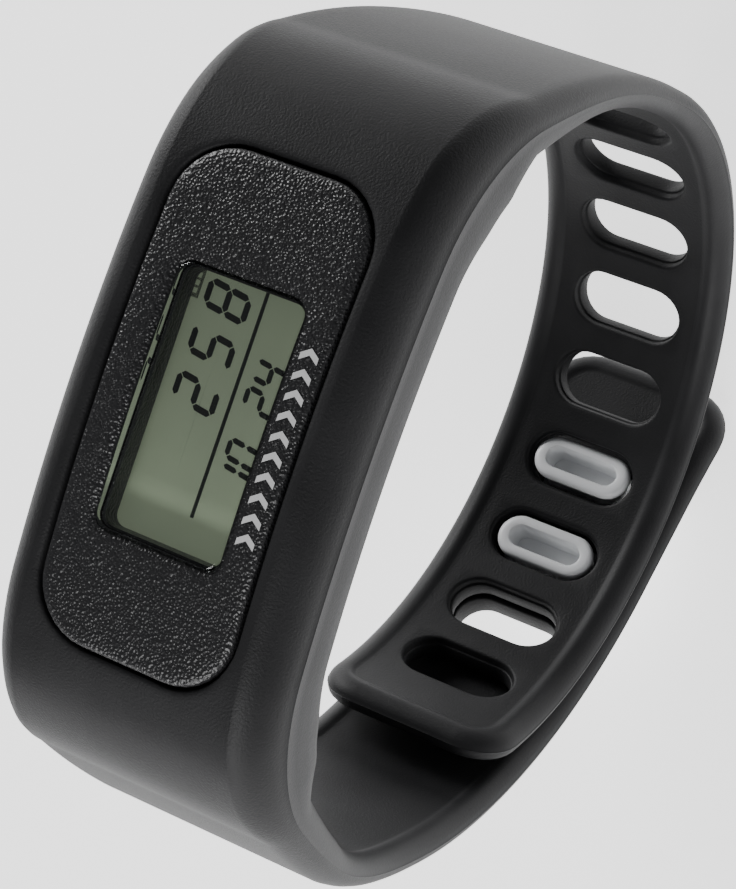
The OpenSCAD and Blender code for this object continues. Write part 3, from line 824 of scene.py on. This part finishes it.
# %% Build the face plate
def build_face():
    sh, prev, first = Shell(), None, None
    under = lambda d: (lambda x: face_z(x) - d)
    level = lambda z: (lambda x: z)
    steps = [(0, level(CASE_LOW)), (0, level(WALL_MID)), (0, under(0.60)),
             (0.04, under(0.3)), (0.12, under(0.14)), (0.28, under(0.04)), (0.6, under(0.0))]
    rings = [face_loop(sh, FACE_L - 2 * g, FACE_W - 2 * g, CASE_R - g, h) for g, h in steps]
    outer = rounded(FACE_L - 1.6, FACE_W - 1.6, 3.8, 40, 16)
    edge = rounded(WIN_L + 2.2, WIN_W + 2.2, 2.1, 40, 16)
    for t in (0.25, 0.5, 0.75, 1.0):
        mid = [(a[0] + (b[0] - a[0]) * t, a[1] + (b[1] - a[1]) * t) for a, b in zip(outer, edge)]
        rings.append(sh.loop([(x, y, face_z(x)) for x, y in mid]))
    for g, d in [(0.75, 0.012), (0.45, 0.05), (0.2, 0.13), (0.05, 0.24), (0.0, 0.42)]:
        rings.append(face_loop(sh, WIN_L + 2 * g, WIN_W + 2 * g, 1.1 + g, under(d)))
    for l, w, r, z in [
            (WIN_L, WIN_W, 1.1, LENS_LOW - .02), (WIN_L - .5, WIN_W - .5, .9, LENS_LOW - .02),
            (WIN_L - .5, WIN_W - .5, .9, LCD_TOP + .05),
            (WIN_L + 1.8, WIN_W + 1.8, 1.4, LCD_TOP + .05),
            (WIN_L + 1.8, WIN_W + 1.8, 1.4, CEILING_Z), (FACE_L - 2, FACE_W - 2, 3.6, CEILING_Z),
            (FACE_L - 2, FACE_W - 2, 3.6, CASE_LOW)]:
        rings.append(face_loop(sh, l, w, r, level(z)))
    for a, b in zip(rings, rings[1:] + rings[:1]):
        sh.strip(a, b)
    return sh.build("face_plate", [case_grain], sharp=50)


plate = build_face()
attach(plate, "module")
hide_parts("front_case")

# %% [markdown]
# ## The window and the liquid crystal display
# Under the window's clear block lie the front glass with the dark segments and,
# behind it, a grey-green reflector. Clear plastic is a mix of see-through and
# mirror, weighed by how steeply it's seen, which stays clean and lets soft light
# reach the display.

# %% A clear window with a rounded edge
def clear(name, tint, ior, haze=0.02):
    f = Finish(name, roughness=haze)
    see = f.node("ShaderNodeBsdfTransparent", None, {"Color": (*tint, 1)})
    shine = f.node("ShaderNodeBsdfGlossy", None, {"Color": (1, 1, 1, 1), "Roughness": haze})
    edge = f.node("ShaderNodeFresnel", None, {"IOR": ior})
    both = f.node("ShaderNodeMixShader", None, {0: edge, 1: see, 2: shine})
    f.links.new(both.socket, f.output.inputs["Surface"])
    return f.mat


lens_clear = clear("window_clear", (0.93, 0.95, 0.94), 1.49)
shell = Shell()
pane_l, pane_w = WIN_L - .06, WIN_W - .06
rings = []
for g, h in [(0.04, LENS_LOW), (0, LENS_LOW + .1)]:
    rings.append(face_loop(shell, pane_l - 2 * g, pane_w - 2 * g, PANE_R - g, lambda x, h=h: h))
for g, d in [(0, 0.02), (0.03, -0.04), (0.1, -0.08), (0.25, -0.1), (1.0, -.1), (2.2, -.1),
             (3.6, -.1), (5.0, -.1)]:
    rings.append(face_loop(shell, pane_l - 2 * g, pane_w - 2 * g, max(.05, PANE_R - g),
                           lambda x, d=d: face_z(x) - d))
for a, b in zip(rings, rings[1:]):
    shell.strip(a, b)
shell.cap(rings[0])
shell.cap(rings[-1])
lens = shell.build("window_pane", [lens_clear], sharp=50)
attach(lens, "module")
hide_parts("window_lens")

# %% Display finishes
lcd_back_glowing = Finish("lcd_reflector", (0.80, 0.86, 0.68), 0.45, specular_ior_level=0.3)
cloud = lcd_back_glowing.noise(0.35, 2.0)
lcd_back_glowing.set("Base Color", lcd_back_glowing.mix(cloud, (0.78, 0.84, 0.66), (0.84, 0.90, 0.72)))
lcd_back_glowing.set("Roughness", 0.4 + 0.1 * lcd_back_glowing.noise(4.0))
# painted light: a faint, even glow of its own brightens the reflector under the clear layers
lcd_back_glowing.set("Emission Color", (0.105, 0.118, 0.088, 1))
lcd_back_glowing.set("Emission Strength", 1.0)
lcd_dark = Finish("lcd_segments", (0.012, 0.014, 0.013), 0.4)
lcd_dark.set("Roughness", 0.35 + 0.1 * lcd_dark.noise(4.0))
glass_clear = clear("lcd_glass", (0.95, 0.96, 0.94), 1.3)
white_ink = Finish("white_ink", (0.62, 0.62, 0.62), 0.5)
white_ink.set("Base Color", white_ink.mix(white_ink.noise(8.0), (0.5, 0.5, 0.5), (0.7, 0.7, 0.7)))

# %% [markdown]
# ## The hidden parts
# The cell, the board and what is on it only show when the module's back is seen
# or the case is opened, but each still gets a finish of its own.

# %% Finishes for metal, board and small plastic parts
def plain(name, a, b, rough, grain=3.0, metal=0.0, stretch=None):
    f = Finish(name, a, rough, metallic=metal)
    spots = f.noise(grain, 3.0, stretch=stretch)
    f.set("Base Color", f.mix(spots, a, b))
    f.set("Roughness", rough - 0.06 + 0.12 * spots)
    f.set("Normal", f.bump(spots, 0.006, 0.4))
    return f.mat


steel = plain("brushed_steel", (0.58, 0.58, 0.59), (0.66, 0.66, 0.67), 0.3, 4.0, 1.0, (1, 12, 1))
brass = plain("spring_brass", (0.66, 0.5, 0.22), (0.74, 0.58, 0.28), 0.28, 3.0, 1.0)
door_black = plain("door_black", (0.018, 0.019, 0.021), (0.026, 0.027, 0.03), 0.45)
finishes = {
    "printed_mark": white_ink.mat, "lcd_glass": glass_clear, "lcd_segments": lcd_dark.mat,
    "lcd_reflector": lcd_back_glowing.mat, "rear_case": case_grain, "battery_door": door_black,
    "mode_key": door_black, "coin_cell": steel, "case_screws": steel,
    "quartz_crystal": steel, "mode_switch": steel,
    "positive_contact": brass, "negative_contact": brass,
    "lcd_frame": plain("frame_white", (0.5, 0.5, 0.47), (0.56, 0.56, 0.53), 0.5),
    "zebra_strip_near": plain("zebra_pink", (0.3, 0.1, 0.14), (0.38, 0.14, 0.18), 0.6),
    "circuit_board": plain("board_green", (0.015, 0.10, 0.045), (0.02, 0.13, 0.06), 0.4),
    "controller_blob": plain("epoxy_black", (0.01, 0.01, 0.01), (0.016, 0.016, 0.016), 0.15),
    "step_sensor": plain("chip_black", (0.02, 0.02, 0.02), (0.03, 0.03, 0.03), 0.5),
    "smd_parts": plain("ceramic_tan", (0.35, 0.26, 0.16), (0.45, 0.34, 0.22), 0.45),
    "case_gasket": plain("seal_grey", (0.05, 0.05, 0.055), (0.07, 0.07, 0.075), 0.6),
}
finishes["zebra_strip_far"] = finishes["zebra_strip_near"]
finishes["door_seal"] = finishes["case_gasket"]
for name, mat in finishes.items():
    o = frame["nodes"][name]
    o.data.materials.clear()
    o.data.materials.append(mat)
print("finished", len(finishes), "CAD parts")

# %% [markdown]
# ## The button in the far wall
# A small domed pad of the same silicone sits in the band's far wall. Pressing it
# pushes the module's key.

# %% Build the pad
low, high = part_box("button_pad")
pad_x, pad_z = (low.x + high.x) / 2 / MM, (low.z + high.z) / 2 / MM
PRESS_ROOM = 0.45  # the stem stops short of the case, so that it can be pressed
pad_r, pad_y0, pad_y1 = (high.x - low.x) / 2 / MM, low.y / MM + PRESS_ROOM, high.y / MM
shell, rings = Shell(), []
for r, y in [(0.6, pad_y0), (0.75, pad_y0 + .12), (0.75, pad_y0 + 1.2), (pad_r - .1, pad_y0 + 1.28),
             (pad_r, pad_y0 + 1.4), (pad_r, pad_y1 - .4), (pad_r - .12, pad_y1 - .18),
             (pad_r - .4, pad_y1 - .06), (pad_r * .5, pad_y1 - .01), (0.12, pad_y1)]:
    rings.append(shell.loop([(pad_x + r * math.cos(t), y, pad_z + r * math.sin(t))
                             for t in np.linspace(0, 2 * math.pi, 33)[:-1]]))
for a, b in zip(rings, rings[1:]):
    shell.strip(a, b)
shell.cap(rings[0])
shell.cap(rings[-1])
pad = shell.build("button_dome", [pad_silicone])
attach(pad, "pad")
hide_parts("button_pad")

# %% [markdown]
# ## Floor, light and camera
# A pale floor and three soft lights show matte black well: the broad key light
# draws the shoulder below the face, and the others run along the straps' edges.

# %% Floor
def build_floor():
    sh = Shell()
    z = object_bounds()[0].z / MM - 0.05
    sh.cap(sh.loop([(900 * math.cos(t), 900 * math.sin(t), z)
                    for t in np.linspace(0, 2 * math.pi, 65)[:-1]]))
    floor = sh.build("studio_floor", [])
    f = Finish("floor_pale", (0.86, 0.86, 0.86), 0.7)
    f.set("Base Color", f.mix(f.noise(0.01), (0.85, 0.85, 0.85), (0.87, 0.87, 0.87)))
    f.set("Emission Color", (1, 1, 1, 1))
    f.set("Emission Strength", 1.5)
    floor.data.materials.append(f.mat)


build_floor()


# %% Lights
def soft_light(name, at, aim, size, watts, tint=(1, 1, 1)):
    data = bpy.data.lights.new(name, "AREA")
    data.shape, data.size, data.size_y = "RECTANGLE", size[0], size[1]
    data.energy, data.color = watts, tint
    lamp = bpy.data.objects.new(name, data)
    lamp.location = at
    lamp.rotation_euler = (Vector(aim) - Vector(at)).to_track_quat("-Z", "Y").to_euler()
    bpy.context.scene.collection.objects.link(lamp)


soft_light("key_soft", (-0.50, -0.10, 0.34), (0, 0, 0.01), (0.40, 0.45), 4.5)
soft_light("side_soft", (0.05, -0.60, 0.16), (0, 0, 0), (0.5, 0.25), 0.25)
soft_light("far_soft", (0.30, 0.50, 0.16), (0, 0, 0.02), (0.3, 0.2), 3.0)
world = bpy.data.worlds.new("studio_world")
world.use_nodes = True
world.node_tree.nodes["Background"].inputs["Color"].default_value = (0.95, 0.96, 1.0, 1)
world.node_tree.nodes["Background"].inputs["Strength"].default_value = 0.12
bpy.context.scene.world = world


# %% Camera
def build_camera():
    data = bpy.data.cameras.new("camera")
    data.sensor_fit, data.sensor_width, data.lens = "HORIZONTAL", 36.0, 151.3
    data.clip_start, data.clip_end = 0.01, 10
    camera = bpy.data.objects.new("camera", data)
    right = Vector((0.3263, -0.8436, -0.4264)).normalized()
    ahead = Vector((-0.0826, 0.424, -0.9019)).normalized()
    up = right.cross(ahead).normalized()
    turn = Matrix((right, up, -ahead)).transposed()
    camera.matrix_world = Matrix.Translation((0.01915, -0.09897, 0.22208)) @ turn.to_4x4()
    bpy.context.scene.collection.objects.link(camera)
    bpy.context.scene.camera = camera


build_camera()
